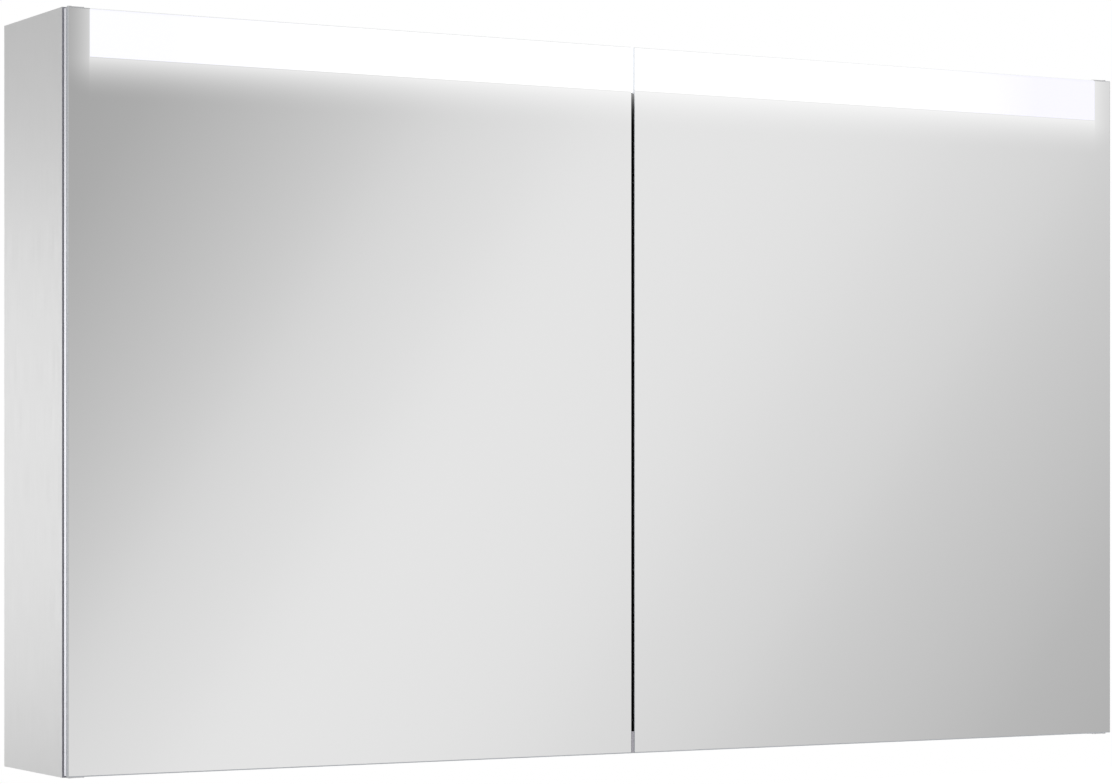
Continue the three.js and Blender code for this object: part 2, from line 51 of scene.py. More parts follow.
BAND_HEIGHT = {"left": 44.0 * MM, "right": 42.7 * MM}  # clear strip across the top of a door
BAND_TINT = {"left": (0.88, 0.88, 0.98), "right": (0.83, 0.823, 0.97)}  # its colour at the outer end
BAND_MARGIN = 21.5 * MM  # silvered margin between the strip and the door's outer edge
TINT_FROM, TINT_TO = 0.30, 0.50  # metres from the middle: the tint starts, and is full
LIT_EDGE = 0.15 * MM  # what is closer to the strip than this is lit
LINE_EDGE = 0.95 * MM  # outer edge of the fine line below the strip where the painted glow is dimmed
LINE_DEPTH = 0.09
TOP_DIMMING = 0.955  # light left at the strip's very top
TOP_DIMMED = 3 * MM
GLOW_REACH = 40.0 * MM  # how far the painted glow of the strip's light reaches in the glass
GLOW_PEAK = 0.70
GLOW_SIDE_START = 8.0 * MM  # beside the strip the glow starts this far along its fade
GLOW_SIDE_RAMP = 8.0
GLOW_SIDE_RATE = 0.85
EDGE_GLOW_REACH = 14 * MM  # how far below the strip the glass edge still has its painted glow
SEAL_GLOW = (46 * MM, 4 * MM)  # the seal's painted glow, emission for the strip's light falling on it: from this far below its top to this far above
SEAL_GLOW_PEAK = 0.42
ARRIS = 0.8 * MM  # ground corner of the front pane
GAP_ARRIS = 0.3 * MM
SILVER = 0.93  # share of the light that a mirror gives back
WHITE = (1, 1, 1, 1)


def linear(grey):
    """A display grey, 0 to 255, as a linear value."""
    value = grey / 255
    return value / 12.92 if value <= 0.04045 else ((value + 0.055) / 1.055) ** 2.4


# ---------------------------------------------------------------- material helpers


class Paint:
    """A node material with one Principled shader, and short calls for the nodes that feed it."""

    def __init__(self, name, color, rough, metal=0.0, **sockets):
        self.mat = bpy.data.materials.new(name)
        self.mat.use_nodes = True
        self.tree = self.mat.node_tree
        self.bsdf = self.tree.nodes["Principled BSDF"]
        self.set("Base Color", (*color, 1.0))
        self.set("Roughness", rough)
        self.set("Metallic", metal)
        for key, value in sockets.items():
            self.set(key.replace("_", " ").title().replace("Ior", "IOR"), value)

    def set(self, socket, value):
        self.bsdf.inputs[socket].default_value = value

    def node(self, kind, **settings):
        made = self.tree.nodes.new(kind)
        for key, value in settings.items():
            setattr(made, key, value)
        return made

    def link(self, source, target):
        self.tree.links.new(source, target)
        return target

    def feed(self, socket, source):
        self.link(source, self.bsdf.inputs[socket])

    def place(self, scale=(1, 1, 1)):
        """Object coordinates, in metres, scaled by axis."""
        coords = self.node("ShaderNodeTexCoord")
        mapping = self.node("ShaderNodeMapping")
        mapping.inputs["Scale"].default_value = scale
        self.link(coords.outputs["Object"], mapping.inputs["Vector"])
        return mapping.outputs["Vector"]

    def axes(self):
        """The X, Y and Z outputs of the object coordinates."""
        made = self.node("ShaderNodeSeparateXYZ")
        self.link(self.place(), made.inputs["Vector"])
        return made.outputs

    def noise(self, scale, detail=3.0, rough=0.5, stretch=(1, 1, 1)):
        made = self.node("ShaderNodeTexNoise")
        made.inputs["Scale"].default_value = scale
        made.inputs["Detail"].default_value = detail
        made.inputs["Roughness"].default_value = rough
        self.link(self.place(stretch), made.inputs["Vector"])
        return made.outputs["Fac"]

    def span(self, source, low, high, start=0.3, end=0.7):
        """source mapped from start..end to low..high, and held there beyond the ends."""
        made = self.node("ShaderNodeMapRange")
        made.inputs["From Min"].default_value = start
        made.inputs["From Max"].default_value = end
        made.inputs["To Min"].default_value = low
        made.inputs["To Max"].default_value = high
        self.link(source, made.inputs["Value"])
        return made.outputs["Result"]

    def blend(self, fac, first, second):
        """Two colours mixed by a factor."""
        made = self.node("ShaderNodeMix", data_type="RGBA")
        self.link(fac, made.inputs["Factor"])
        for socket in made.inputs:
            if socket.type == "RGBA":
                socket.default_value = (*(first if socket.name == "A" else second), 1)
        return [out for out in made.outputs if out.type == "RGBA"][0]

    def math(self, operation, first, second=None):
        made = self.node("ShaderNodeMath", operation=operation)
        for slot, value in enumerate((first, second)):
            if value is None:
                continue
            if isinstance(value, (int, float)):
                made.inputs[slot].default_value = value
            else:
                self.link(value, made.inputs[slot])
        return made.outputs["Value"]

    def bump(self, height, strength, distance):
        made = self.node("ShaderNodeBump")
        made.inputs["Strength"].default_value = strength
        made.inputs["Distance"].default_value = distance
        self.link(height, made.inputs["Height"])
        self.feed("Normal", made.outputs["Normal"])


def shaded(color, share):
    return tuple(c * share for c in color)


def grained(name, color, rough, stretch, depth=0.02 * MM):
    """Satin metal with a fine grain, drawn out along the axis with the small stretch."""
    spread = 0.06
    paint = Paint(name, color, rough, 1.0)
    grain = paint.noise(900, 4, 0.6, stretch)
    cloud = paint.noise(6, 3, 0.5)
    paint.feed("Roughness", paint.span(grain, rough - spread, rough + spread))
    paint.feed("Base Color", paint.blend(paint.span(cloud, 0, 1), shaded(color, 0.985), color))
    paint.bump(grain, 0.15, depth)
    return paint.mat


def moulded(name, color, rough, texture=1800):
    """Plastic with a fine moulded skin."""
    spread = 0.05
    paint = Paint(name, color, rough)
    skin = paint.noise(texture, 2, 0.5)
    cloud = paint.noise(25, 3, 0.55)
    paint.feed("Roughness", paint.span(skin, rough - spread, rough + spread))
    paint.feed("Base Color", paint.blend(paint.span(cloud, 0, 1), shaded(color, 0.97), color))
    paint.bump(skin, 0.25, 0.03 * MM)
    return paint.mat


ALONG_X = (0.02, 1, 1)
ALONG_Z = (1, 1, 0.02)
EVEN = (1, 1, 1)

# ---------------------------------------------------------------- materials

body_skin = grained("body_aluminium", (0.76, 0.76, 0.76), 0.42, ALONG_Z)
profile_skin = grained("profile_aluminium", (0.76, 0.76, 0.77), 0.32, ALONG_X)
upright_skin = grained("upright_aluminium", (0.76, 0.76, 0.77), 0.32, ALONG_Z)
stile_skin = grained("stile_aluminium", (0.95, 0.945, 1.0), 0.40, ALONG_Z)
rail_skin = grained("rail_aluminium", (0.95, 0.945, 1.0), 0.40, ALONG_X)
steel_skin = grained("brushed_steel", (0.62, 0.63, 0.64), 0.30, ALONG_Z, depth=0.04 * MM)
pivot_skin = grained("pivot_steel", (0.90, 0.90, 0.91), 0.36, ALONG_Z)
screw_skin = grained("screw_steel", (0.70, 0.70, 0.71), 0.22, EVEN)
magnet_skin = grained("nickel", (0.72, 0.71, 0.69), 0.25, EVEN)
gold_skin = grained("brass_contact", (0.75, 0.58, 0.30), 0.28, EVEN)
white_skin = moulded("white_plastic", (0.86, 0.86, 0.85), 0.32)
pale_grey_skin = moulded("pale_grey_plastic", (0.46, 0.47, 0.49), 0.36)
foot_skin = moulded("foot_plastic", (0.35, 0.34, 0.37), 0.45)
# painted shade: the side shells' aluminium front lips, seen in the gap behind the doors, get a dark
# bluish grey
lip_shade_skin = moulded("painted_gap_shade", (0.25, 0.25, 0.28), 0.5)
black_skin = moulded("black_plastic", (0.012, 0.012, 0.013), 0.40)
cable_skin = moulded("cable_sheath", (0.014, 0.014, 0.015), 0.48, texture=700)
board_skin = moulded("circuit_board", (0.83, 0.84, 0.81), 0.35, texture=500)


def rubber_skin():
    """Matt black rubber, made darker than rubber and without gloss as painted shade of the narrow gap
    between the doors. Its top end, beside the light, has a painted glow: emission standing in for the
    strip's light falling on it.
    """
    paint = Paint("black_rubber", (0.0015, 0.0015, 0.0015), 0.9, specular_ior_level=0.0)
    paint.bump(paint.noise(1500, 3), 0.3, 0.03 * MM)
    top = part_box("partition_seal")[1].z
    below, above = SEAL_GLOW
    near = paint.span(paint.axes()["Z"], 0.0, 1.0, top - below, top + above)
    falloff = paint.math("POWER", near, 4.9)
    paint.feed("Emission Strength", paint.math("MULTIPLY", falloff, SEAL_GLOW_PEAK))
    paint.set("Emission Color", WHITE)
    return paint.mat


def wiped_film(paint):
    """The faintest unevenness of wiped glass, and the roughness that it gives a mirror."""
    film = paint.noise(14, 5, 0.6)
    return film, paint.span(film, 0.012, 0.03)


def mirror_skin():
    """Silvered glass seen from the front."""
    paint = Paint("mirror", (SILVER, SILVER, SILVER), 0.02, 1.0)
    film, rough = wiped_film(paint)
    paint.feed("Roughness", rough)
    paint.feed("Base Color", paint.blend(film, (0.928, 0.931, 0.931), (0.932, 0.932, 0.932)))
    return paint.mat


def strip_distance(paint, side, axes):
    """Two outputs: distance from the strip, as its glow sees it, and distance out from the middle."""
    low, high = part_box(side + "_front_mirror")
    outward = paint.math("MULTIPLY", axes["X"], OUTWARD[side])
    edge = max(abs(low.x), abs(high.x)) - BAND_MARGIN
    beside = paint.math("MAXIMUM", paint.math("SUBTRACT", outward, edge), 0.0)
    drop = paint.math("SUBTRACT", high.z - BAND_HEIGHT[side], axes["Z"])
    below = paint.math("MAXIMUM", drop, 0.0)
    ramp_in = paint.math("MINIMUM", paint.math("MULTIPLY", beside, GLOW_SIDE_RAMP), GLOW_SIDE_START)
    sideways = paint.math("ADD", paint.math("MULTIPLY", beside, GLOW_SIDE_RATE), ramp_in)
    squares = paint.math("ADD", paint.math("POWER", sideways, 2.0), paint.math("POWER", below, 2.0))
    return paint.math("SQRT", squares), outward


def front_skin(side):
    """The front pane: silver, the clear strip painted as glowing glass for the light that shows through
    it, and a painted glow round the strip on the silver.
    """
    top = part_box(side + "_front_mirror")[1].z
    silver = (SILVER, SILVER, SILVER)
    paint = Paint(side + "_front_silver", silver, 0.02, 1.0)
    axes = paint.axes()
    distance, outward = strip_distance(paint, side, axes)
    fade = paint.span(distance, 1.0, 0.0, 0.0, GLOW_REACH)
    glow = paint.math("MULTIPLY", paint.math("POWER", fade, 2.0), GLOW_PEAK)
    lit = paint.math("LESS_THAN", distance, LIT_EDGE)
    rough = paint.math("MAXIMUM", wiped_film(paint)[1], paint.math("MULTIPLY", lit, 0.35))
    paint.feed("Roughness", rough)
    paint.feed("Metallic", paint.math("SUBTRACT", 1.0, lit))
    # The painted glow covers the reflection: the silver gets darker as the glow's share rises.
    share = paint.math("MAXIMUM", glow, paint.math("MULTIPLY", lit, 0.9))
    paint.feed("Base Color", paint.blend(share, silver, (0.0, 0.0, 0.0)))
    # Towards the outer ends the light is a little bluer.
    outer_end = paint.math("MULTIPLY", paint.span(outward, 0.0, 1.0, TINT_FROM, TINT_TO), lit)
    paint.feed("Emission Color", paint.blend(outer_end, (1.0, 1.0, 1.0), BAND_TINT[side]))
    # The painted glow is dimmed along a fine line below the strip's lower edge, and the strip's top edge
    # is a shade dimmer.
    line = paint.math("SUBTRACT", paint.math("LESS_THAN", distance, LINE_EDGE), lit)
    spill = paint.math("SUBTRACT", glow, paint.math("MULTIPLY", line, LINE_DEPTH))
    near_top = paint.span(axes["Z"], 1.0, TOP_DIMMING, top - TOP_DIMMED, top)
    strength = paint.math("MAXIMUM", spill, paint.math("MULTIPLY", lit, near_top))
    paint.feed("Emission Strength", strength)
    return paint.mat


def strip_span(paint, axes):
    """1 between the strip's outer ends and 0 in the margins, and the strip's lower edge."""
    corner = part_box("right_front_mirror")[1]
    across = paint.math("ABSOLUTE", axes["X"])
    inside = paint.math("LESS_THAN", across, corner.x - BAND_MARGIN)
    return inside, corner.z - BAND_HEIGHT["left"]


def edge_skin(name, dark, pale, rough, metal, glow):
    """The ground and polished edge of float glass, with a painted glow where the lit strip ends in it:
    emission standing in for the strip's light in the glass.
    """
    paint = Paint(name, pale, rough, metal)
    axes = paint.axes()
    inside, band_low = strip_span(paint, axes)
    above = paint.span(axes["Z"], 0.0, 1.0, band_low - EDGE_GLOW_REACH, band_low)
    lit = paint.math("MULTIPLY", inside, above)
    paint.feed("Emission Strength", paint.math("MULTIPLY", lit, glow))
    paint.set("Emission Color", WHITE)
    grind = paint.noise(500, 3, 0.6, (1, 1, 0.1))
    paint.feed("Roughness", paint.span(grind, rough - 0.06, rough + 0.08))
    paint.feed("Base Color", paint.blend(grind, dark, pale))
    return paint.mat


def back_paint_skin():
    """The back of a front pane: grey protective paint, and frosted glass behind the clear strip."""
    paint = Paint("mirror_backing", (0.30, 0.31, 0.32), 0.55)
    axes = paint.axes()
    inside, band_low = strip_span(paint, axes)
    above = paint.math("GREATER_THAN", axes["Z"], band_low)
    frosted = paint.math("MULTIPLY", paint.math("MULTIPLY", inside, above), 0.86)
    cloud = paint.math("MULTIPLY", paint.noise(40, 4), 0.12)
    pale = paint.math("ADD", frosted, cloud)
    paint.feed("Base Color", paint.blend(pale, (0.28, 0.29, 0.30), (0.90, 0.93, 0.92)))
    paint.bump(paint.noise(900, 3), 0.3, 0.03 * MM)
    return paint.mat


def shelf_skin(name, tint, rough):
    """Clear glass with a faint film."""
    paint = Paint(name, tint, rough, ior=1.5, transmission_weight=1.0)
    film = paint.noise(22, 4, 0.6)
    paint.feed("Roughness", paint.span(film, rough, rough + 0.02))
    return paint.mat


def opal_skin():
    """The light's opal cover, lit from behind."""
    paint = Paint("opal_plastic", (0.5, 0.5, 0.5), 0.45)
    cloud = paint.noise(30, 3)
    paint.feed("Emission Strength", paint.span(cloud, 0.82, 0.84))
    paint.set("Emission Color", (0.98, 0.98, 1.0, 1))
    paint.bump(paint.noise(1200, 2), 0.2, 0.02 * MM)
    return paint.mat


def led_skin():
    """A lit LED with its yellow phosphor."""
    paint = Paint("led", (0.95, 0.90, 0.55), 0.3)
    phosphor = paint.blend(paint.noise(700, 2), (0.95, 0.86, 0.45), (0.95, 0.92, 0.66))
    paint.feed("Base Color", phosphor)
    paint.set("Emission Color", WHITE)
    paint.set("Emission Strength", 2.0)
    return paint.mat


seal_skin = rubber_skin()
mirror_face = mirror_skin()
# the last number is the strength of each edge's painted glow
glass_edge = edge_skin("glass_edge", (0.40, 0.42, 0.45), (0.46, 0.48, 0.51), 0.22, 0.0, 0.36)
arris_skin = edge_skin("glass_arris", (0.68, 0.69, 0.71), (0.76, 0.77, 0.79), 0.30, 0.85, 0.42)
mirror_back = back_paint_skin()
shelf_glass = shelf_skin("shelf_glass", (0.95, 0.985, 0.97), 0.0)
shelf_edge = shelf_skin("shelf_glass_edge", (0.45, 0.80, 0.68), 0.06)
bumper_skin = moulded("clear_bumper", (0.70, 0.71, 0.71), 0.22)
opal = opal_skin()
led = led_skin()

# ---------------------------------------------------------------- mesh helpers


def obj_from(bm, name, materials, smooth=True):
    """An object made from a bmesh, with smooth round faces and crisp corners if smooth."""
    mesh = bpy.data.meshes.new(name)
    bmesh.ops.recalc_face_normals(bm, faces=bm.faces)
    bm.to_mesh(mesh)
    bm.free()
    obj = bpy.data.objects.new(name, mesh)
    bpy.context.scene.collection.objects.link(obj)
    for material in materials:
        mesh.materials.append(material)
    if smooth:
        mesh.shade_smooth()
        crease(mesh)
    return obj


def crease(mesh, degrees=32):
    """Sharp edges where faces meet at more than this angle."""
    bm = bmesh.new()
    bm.from_mesh(mesh)
    for edge in bm.edges:
        flat = len(edge.link_faces) == 2 and edge.calc_face_angle(0) < math.radians(degrees)
        edge.smooth = flat
    bm.to_mesh(mesh)
    bm.free()


def bevel(obj, width, segments=2, angle=40):
    made = obj.modifiers.new("edge_round", "BEVEL")
    made.width = width
    made.segments = segments
    made.limit_method = "ANGLE"
    made.angle_limit = math.radians(angle)
    made.harden_normals = False


def dress(name, material, width=0.0, segments=2):
    """Gives a CAD node its material, and rounds its edges by width."""
    obj = nodes[name]
    obj.data.materials.clear()
    obj.data.materials.append(material)
    if width:
        bevel(obj, width, segments)
    return obj


def skin_where(obj, material, picked):
    """Gives the faces that picked says yes to a second material."""
    obj.data.materials.append(material)
    for face in obj.data.polygons:
        face.material_index = 1 if picked(face) else 0


def turned(bm, profile, sides, axis_point, material=0):
    """Sweeps (radius, y) points, in millimetres, round an axis along Y through axis_point."""
    rings = []
    for radius, y in profile:
        if radius == 0:
            rings.append([bm.verts.new(axis_point + Vector((0, y * MM, 0)))])
            continue
        ring = []
        for i in range(sides):
            a = 2 * math.pi * i / sides
            reach = radius * MM
            spot = Vector((reach * math.cos(a), y * MM, reach * math.sin(a)))
            ring.append(bm.verts.new(axis_point + spot))
        rings.append(ring)
    for one, two in zip(rings, rings[1:]):
        for i in range(sides):
            j = (i + 1) % sides
            corners = [one[i % len(one)], one[j % len(one)], two[j % len(two)], two[i % len(two)]]
            unique = list(dict.fromkeys(corners))
            if len(unique) > 2:
                bm.faces.new(unique).material_index = material


# ---------------------------------------------------------------- doors


def front_pane(side):
    """The front mirror with its ground arris all round."""
    low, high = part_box(side + "_front_mirror")
    silver, edge, backing, ground = range(4)
    left_cut, right_cut = (ARRIS, GAP_ARRIS) if side == "left" else (GAP_ARRIS, ARRIS)
    bm = bmesh.new()

    def ring(share, y):
        x = (low.x + share * left_cut, high.x - share * right_cut)
        z = (low.z + share * ARRIS, high.z - share * ARRIS)
        corners = [(x[0], z[0]), (x[1], z[0]), (x[1], z[1]), (x[0], z[1])]
        return [bm.verts.new((across, y, up)) for across, up in corners]

    back_in = ring(0.5, high.y)
    back_out = ring(0, high.y - ARRIS * 0.5)
    front_out = ring(0, low.y + ARRIS * 0.5)
    front_in = ring(1, low.y)
    bm.faces.new(back_in).material_index = backing
    bm.faces.new(front_in).material_index = silver
    # The sides run round from the bottom. The bottom and the one at the gap are polished.
    polished = (0, 1 if side == "left" else 3)
    for one, two in ((back_in, back_out), (back_out, front_out), (front_out, front_in)):
        for i in range(4):
            j = (i + 1) % 4
            face = bm.faces.new((one[i], one[j], two[j], two[i]))
            face.material_index = ground if two is front_in and i not in polished else edge
    skins = [front_skin(side), glass_edge, mirror_back, arris_skin]
    obj = obj_from(bm, side + "_front_pane", skins, False)
    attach(obj, side + "_door")
    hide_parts(side + "_front_mirror")


FACING = 0.9  # a face looks along an axis when its normal has more than this along it

for side in ("left", "right"):
    front_pane(side)
    for part in ("outer_stile", "meeting_stile"):
        dress(f"{side}_{part}", stile_skin, 0.4 * MM)
    for part in ("top_rail", "bottom_rail"):
        dress(f"{side}_{part}", rail_skin, 0.4 * MM)
    dress(side + "_strike_plate", screw_skin, 0.2 * MM)
    for part in ("inner_mirror", "rear_mirror"):
        pane = dress(f"{side}_{part}", mirror_face)
        skin_where(pane, glass_edge, lambda face: abs(face.normal.y) <= FACING)

# ---------------------------------------------------------------- body

LIP_DEPTH = 5.8 * MM  # how far back the front lips of the side shells reach
LED_FROM = 1.7 * MM  # what stands further than this off the strip's back is an LED


def dress_shell(name):
    """A side's outer skin, with a dark bluish grey painted on its front lip as the shade in the gap
    behind the door.
    """
    shell = dress(name, body_skin, 0.35 * MM, 3)
    lip_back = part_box(name)[0].y + LIP_DEPTH
    skin_where(shell, lip_shade_skin, lambda face: face.normal.y < -FACING and face.center.y < lip_back)


def dress_led_strip():
    """The board, with each LED in front of it in its own material."""
    strip = dress("led_strip", board_skin)
    led_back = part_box("led_strip")[1].y - LED_FROM
    skin_where(strip, led, lambda face: face.center.y < led_back)


for name in ("left_side_shell", "right_side_shell"):
    dress_shell(name)
for name in ("left_side_liner", "right_side_liner", "back_panel", "back_rail", "ceiling_panel"):
    dress(name, body_skin)
for name in ("bottom_panel", "top_panel", "light_housing"):
    dress(name, profile_skin, 0.4 * MM)
dress("centre_partition", upright_skin)
dress("partition_seal", seal_skin, 0.2 * MM)
dress("light_diffuser", opal, 0.3 * MM)
dress_led_strip()
for name in ("led_driver", "junction_box", "power_unit_box"):
    dress(name, white_skin, 0.5 * MM)
dress("power_unit_plate", white_skin, 0.8 * MM, 3)
dress("light_button", pale_grey_skin, 1.2 * MM, 3)
for name in ("left_socket", "right_socket"):
    dress(name, white_skin)
dress("cable_entry", black_skin)
dress("seal_foot", foot_skin, 0.2 * MM)
dress("power_cable", cable_skin)
for side in ("left", "right"):
    dress(side + "_wall_hanger", steel_skin, 0.5 * MM)
    dress(side + "_magnet_catch", pale_grey_skin, 0.6 * MM)
    for end in ("upper", "lower"):
        dress(f"{side}_{end}_pivot", pivot_skin, 0.3 * MM)
    for level in ("lower", "upper"):
        pane = dress(f"{side}_{level}_shelf", shelf_glass, 0.6 * MM)
        skin_where(pane, shelf_edge, lambda face: abs(face.normal.z) <= FACING)
        for wall in ("inner", "outer"):
            dress(f"{side}_{level}_{wall}_rail", steel_skin, 0.3 * MM)

# ---------------------------------------------------------------- fine pieces

SCREW_SKINS = [screw_skin, black_skin]
# Each kind of screw: the radius and the height of its head.
PIVOT_SCREW = (3.1 * MM, 0.9 * MM)
HANGER_SCREW = (4.6 * MM, 3.0 * MM)
PLATE_SCREW = (2.6 * MM, 1.1 * MM)
BACK_SCREW = (3.4 * MM, 0.35 * MM)
ENTRY_SCREW = (3.0 * MM, 0.35 * MM)


def brick(bm, low, high, material=0):
    """A box between two corners, in metres."""
    made = bmesh.ops.create_cube(bm, size=1.0)
    low, high = Vector(low), Vector(high)
    size = high - low
    for vert in made["verts"]:
        vert.co = Vector(a * b for a, b in zip(vert.co, size)) + (low + high) / 2
    for face in {f for vert in made["verts"] for f in vert.link_faces}:
        face.material_index = material


def screw(bm, place, kind, facing=-1):
    """A pan head with a cross recess on a face that looks along -Y, or +Y with facing 1."""
    radius, height = kind[0] / MM, facing * kind[1] / MM
    head = [
        (0, height), (0.55 * radius, height), (0.85 * radius, 0.75 * height),
        (radius, 0.3 * height), (radius, 0), (0, 0),
    ]
    turned(bm, head, 24, Vector(place))
    x, y, z = place
    front, back = sorted((y + 1.01 * height * MM, y + 0.9 * height * MM))
    long, thin = 0.55 * kind[0], 0.11 * kind[0]
    for wide, tall in ((long, thin), (thin, long)):
        brick(bm, (x - wide, front, z - tall), (x + wide, back, z + tall), 1)


def finish_piece(bm, name, materials, body):
    obj = obj_from(bm, name, materials)
    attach(obj, body)
    return obj


def face_middle(name):
    """The middle of a node's front face."""
    low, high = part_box(name)
    return Vector(((low.x + high.x) / 2, low.y, (low.z + high.z) / 2))


def pivot_screws(side):
    """Two screws through each pivot bracket's flange, into the side wall."""
    flange_middle, flange_steel = 4.75 * MM, 2.3 * MM
    bm = bmesh.new()
    for end, away in (("upper", -1), ("lower", 1)):
        low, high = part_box(f"{side}_{end}_pivot")
        x = high.x - flange_middle if side == "left" else low.x + flange_middle
        start = high.z if end == "upper" else low.z
        for step in (13 * MM, 28 * MM):
            screw(bm, (x, high.y - flange_steel, start + away * step), PIVOT_SCREW)
    finish_piece(bm, side + "_pivot_screws", SCREW_SKINS, "cabinet")


def hanger_screws(side):
    """Screw heads over the CAD's plain ones, which stand head_height off the wall hanger."""
    head_height = 2.5 * MM
    bm = bmesh.new()
    low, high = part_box(side + "_wall_hanger")
    for step in (16 * MM, 46 * MM):
        spot = ((low.x + high.x) / 2, low.y + head_height, high.z - step)
        screw(bm, spot, HANGER_SCREW)
    finish_piece(bm, side + "_hanger_screws", SCREW_SKINS, "cabinet")


def magnet_face(side):
    """The catch's metal face, let into its plastic body and 0.12 mm proud of it."""
    proud, sunk = 0.12 * MM, 0.5 * MM
    half = Vector((3.5, 0, 10)) * MM
    bm = bmesh.new()
    front = face_middle(side + "_magnet_catch")
    brick(
        bm,
        (front.x - half.x, front.y - proud, front.z - half.z),
        (front.x + half.x, front.y + sunk, front.z + half.z),
    )
    finish_piece(bm, side + "_magnet_face", [magnet_skin], "cabinet")


def bumpers(side):
    """Soft domes on the bottom panel's front edge, facing the back of the closed door."""
    dome = [(0, -3.0), (1.8, -2.85), (3.1, -2.2), (3.9, -1.1), (4.1, 0), (0, 0)]
    bm = bmesh.new()
    front = face_middle("bottom_panel")
    for reach in (34 * MM, 540 * MM):
        turned(bm, dome, 24, Vector((OUTWARD[side] * reach, front.y, front.z)))
    finish_piece(bm, side + "_bumpers", [bumper_skin], "cabinet")


def round_socket(name):
    """A round recessed socket with two holes, two earth springs and two guides in its well."""
    well_radius, well_depth = 19.5, 17.5
    low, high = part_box(name)
    centre = face_middle(name)
    back = (high.y - low.y) / MM
    shell = [
        (0, back), (22, back), (22, 2), (25, 2), (25, 0.9), (24.6, 0.3), (23.8, 0),
        (20.3, 0), (19.7, 0.3), (well_radius, 0.9), (well_radius, well_depth), (0, well_depth),
    ]
    hole = [(0, well_depth - 0.2), (2.5, well_depth - 0.2), (2.9, well_depth)]
    plastic, dark, contact = range(3)
    bm = bmesh.new()
    turned(bm, shell, 64, centre, plastic)
    for across in (-9.5, 9.5):
        turned(bm, hole, 24, centre + Vector((across, 0, 0)) * MM, dark)
    for way in (-1, 1):
        inner, outer = sorted((way * 17.9, way * 19.6))
        spring = (Vector((-2.6, 3, inner)), Vector((2.6, well_depth, outer)))
        brick(bm, *(centre + corner * MM for corner in spring), contact)
        inner, outer = sorted((way * 18.2, way * 19.7))
        guide = (Vector((inner, 1.5, -2.0)), Vector((outer, well_depth, 2.0)))
        brick(bm, *(centre + corner * MM for corner in guide), plastic)
    skins = [white_skin, black_skin, gold_skin]
    socket = finish_piece(bm, name + "_round", skins, "cabinet")
    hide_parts(name)


def corner_screws(bm, name, inset, kind, facing=-1):
    """A screw in each corner of a node's front face, or of its back with facing 1."""
    low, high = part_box(name)
    for x in (low.x + inset, high.x - inset):
        for z in (low.z + inset, high.z - inset):
            screw(bm, (x, low.y if facing < 0 else high.y, z), kind, facing)


def plate_screws():
    bm = bmesh.new()
    corner_screws(bm, "power_unit_plate", 6 * MM, PLATE_SCREW)
    finish_piece(bm, "plate_screws", SCREW_SKINS, "cabinet")


def button_mark():
    """A generic ring and dot on the push button."""
    proud, sunk = -0.12, 0.2
    ring = [(4.0, sunk), (4.1, proud), (5.1, proud), (5.2, sunk)]
    dot = [(0, proud), (1.1, proud), (1.3, sunk)]
    bm = bmesh.new()
    centre = face_middle("light_button")
    turned(bm, ring, 40, centre)
    turned(bm, dot, 24, centre)
    finish_piece(bm, "button_mark", [white_skin], "button")


def back_screws():
    """The screws that hold the back panel, the back rail and the cable entry."""
    inset = 9 * MM
    bm = bmesh.new()

    def row(low, high, z, columns):
        for i in range(columns):
            x = low.x + inset + (high.x - low.x - 2 * inset) * i / (columns - 1)
            screw(bm, (x, high.y, z), BACK_SCREW, 1)

    low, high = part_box("back_panel")
    row(low, high, low.z + inset, 7)
    for x in (low.x + inset, high.x - inset):
        for share in (0.33, 0.66, 0.97):
            screw(bm, (x, high.y, low.z + (high.z - low.z) * share), BACK_SCREW, 1)
    low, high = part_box("back_rail")
    row(low, high, high.z - inset, 6)
    corner_screws(bm, "cable_entry", inset, ENTRY_SCREW, 1)
    finish_piece(bm, "back_screws", SCREW_SKINS, "cabinet")


for side in ("left", "right"):
    pivot_screws(side)
    hanger_screws(side)
    magnet_face(side)
    bumpers(side)
round_socket("left_socket")
round_socket("right_socket")
plate_screws()
button_mark()
back_screws()

# ---------------------------------------------------------------- stage, light and camera

FLOOR_HEIGHT = -1.55
FLOOR_HALF = 11.0
FLOOR_FADE = (4.0, 10.5)  # metres from the middle, between which the floor turns white
CAMERA_PLACE = (-1.7633, -3.0375, -0.0875)
CAMERA_TURN = math.radians(28.27)
CAMERA_SHIFT = (0.1034, 0.0867)
LENS, SENSOR = 110.16, 36  # in the camera's own millimetres
FAR = 60
SWEEP_TURN = math.radians(29.95)
SWEEP_DROP = -0.64
SWEEP_REACH = 1.2
# Stops along the backdrop's diagonal, each with the display grey that a mirror shows there.
SWEEP_GREYS = (
    (-1.20, 205), (-0.60, 175), (-0.30, 158), (-0.187, 172), (-0.114, 205.5),
    (-0.060, 224), (-0.014, 228), (0.050, 221), (0.104, 207), (0.177, 184),
    (0.32, 160), (0.60, 175), (1.20, 205),
)


def make_floor():
    """A pale floor that brightens into the white backdrop with distance."""
    bm = bmesh.new()
    bmesh.ops.create_grid(bm, x_segments=1, y_segments=1, size=FLOOR_HALF)
    bmesh.ops.translate(bm, verts=bm.verts, vec=(0, 0, FLOOR_HEIGHT))
    paint = Paint("studio_floor", (0.87, 0.87, 0.87), 0.6, specular_ior_level=0.0)
    away = paint.node("ShaderNodeVectorMath", operation="LENGTH")
    paint.link(paint.place((1, 1, 0)), away.inputs[0])
    fade = paint.span(away.outputs["Value"], 0.12, 1.0, *FLOOR_FADE)
    seen = paint.node("ShaderNodeLightPath").outputs["Is Camera Ray"]
    paint.feed("Emission Strength", paint.math("MULTIPLY", fade, seen))
    paint.set("Emission Color", WHITE)
    paint.feed("Base Color", paint.blend(paint.noise(3, 3), (0.86, 0.86, 0.86), (0.88, 0.88, 0.88)))
    obj_from(bm, "studio_floor", [paint.mat], False)


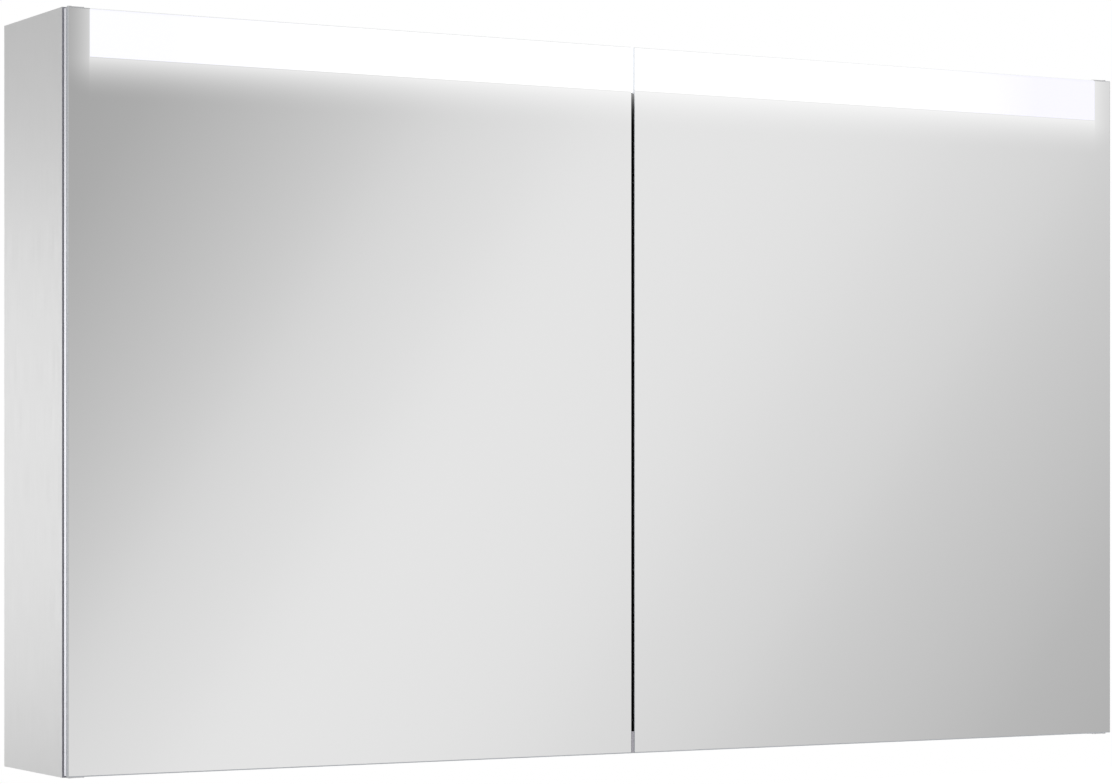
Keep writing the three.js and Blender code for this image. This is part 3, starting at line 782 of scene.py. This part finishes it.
def set_sweep(ramp):
    """Puts the sweep's greys into a colour ramp."""
    ramp.interpolation = "CARDINAL"
    while len(ramp.elements) < len(SWEEP_GREYS):
        ramp.elements.new(0.5)
    for stop, (along, _) in zip(ramp.elements, SWEEP_GREYS):
        stop.position = (along + SWEEP_REACH) / (2 * SWEEP_REACH)
    for stop, (_, grey) in zip(ramp.elements, SWEEP_GREYS):
        value = linear(grey) / SILVER
        stop.color = (value, value, value, 1)


def make_world():
    """A white backdrop, and a soft diagonal sweep of grey for the mirrors to reflect."""
    world = bpy.data.worlds.new("studio")
    bpy.context.scene.world = world
    world.use_nodes = True
    tree = world.node_tree
    tree.nodes.clear()
    coords = tree.nodes.new("ShaderNodeTexCoord")
    dot = tree.nodes.new("ShaderNodeVectorMath")
    dot.operation = "DOT_PRODUCT"
    dot.inputs[1].default_value = (math.cos(SWEEP_TURN), math.sin(SWEEP_TURN), SWEEP_DROP)
    tree.links.new(coords.outputs["Generated"], dot.inputs[0])
    to_ramp = tree.nodes.new("ShaderNodeMapRange")
    to_ramp.inputs["From Min"].default_value = -SWEEP_REACH
    to_ramp.inputs["From Max"].default_value = SWEEP_REACH
    tree.links.new(dot.outputs["Value"], to_ramp.inputs["Value"])
    ramp = tree.nodes.new("ShaderNodeValToRGB")
    set_sweep(ramp.color_ramp)
    tree.links.new(to_ramp.outputs["Result"], ramp.inputs["Fac"])
    seen = tree.nodes.new("ShaderNodeBackground")
    seen.inputs["Color"].default_value = WHITE
    reflected = tree.nodes.new("ShaderNodeBackground")
    tree.links.new(ramp.outputs["Color"], reflected.inputs["Color"])
    path = tree.nodes.new("ShaderNodeLightPath")
    mix = tree.nodes.new("ShaderNodeMixShader")
    tree.links.new(path.outputs["Is Camera Ray"], mix.inputs["Fac"])
    tree.links.new(reflected.outputs["Background"], mix.inputs[1])
    tree.links.new(seen.outputs["Background"], mix.inputs[2])
    out = tree.nodes.new("ShaderNodeOutputWorld")
    tree.links.new(mix.outputs["Shader"], out.inputs["Surface"])


def area_light(name, place, size, watts, aim=(0, 0, 0), glossy=False):
    """A soft light that looks at aim. Mirrors show it only if it is glossy."""
    data = bpy.data.lights.new(name, "AREA")
    data.shape = "RECTANGLE"
    data.size, data.size_y = size
    data.energy = watts
    obj = bpy.data.objects.new(name, data)
    bpy.context.scene.collection.objects.link(obj)
    obj.location = place
    obj.rotation_euler = (Vector(aim) - Vector(place)).to_track_quat("-Z", "Y").to_euler()
    obj.visible_camera = False
    obj.visible_glossy = glossy


def make_camera():
    camera = bpy.data.objects.new("camera", bpy.data.cameras.new("camera"))
    bpy.context.scene.collection.objects.link(camera)
    camera.location = CAMERA_PLACE
    camera.rotation_euler = (math.pi / 2, 0, -CAMERA_TURN)
    camera.data.lens = LENS
    camera.data.sensor_width = SENSOR
    camera.data.shift_x, camera.data.shift_y = CAMERA_SHIFT
    camera.data.clip_end = FAR
    bpy.context.scene.camera = camera


make_floor()
make_world()
area_light("key", place=(-1.8, -2.6, 2.2), size=(2.0, 1.4), watts=60)
area_light(
    "side_soft", place=(-1.75, 1.75, -0.06), size=(2.4, 0.95), watts=4.2,
    aim=(-0.6, -0.07, -0.04), glossy=True,
)
area_light("fill", place=(2.4, -2.0, 0.6), size=(1.6, 1.6), watts=25)
area_light("back_fill", place=(0.4, 2.6, 1.4), size=(2.4, 1.6), watts=35)
make_camera()
bpy.context.scene.view_settings.view_transform = "Standard"
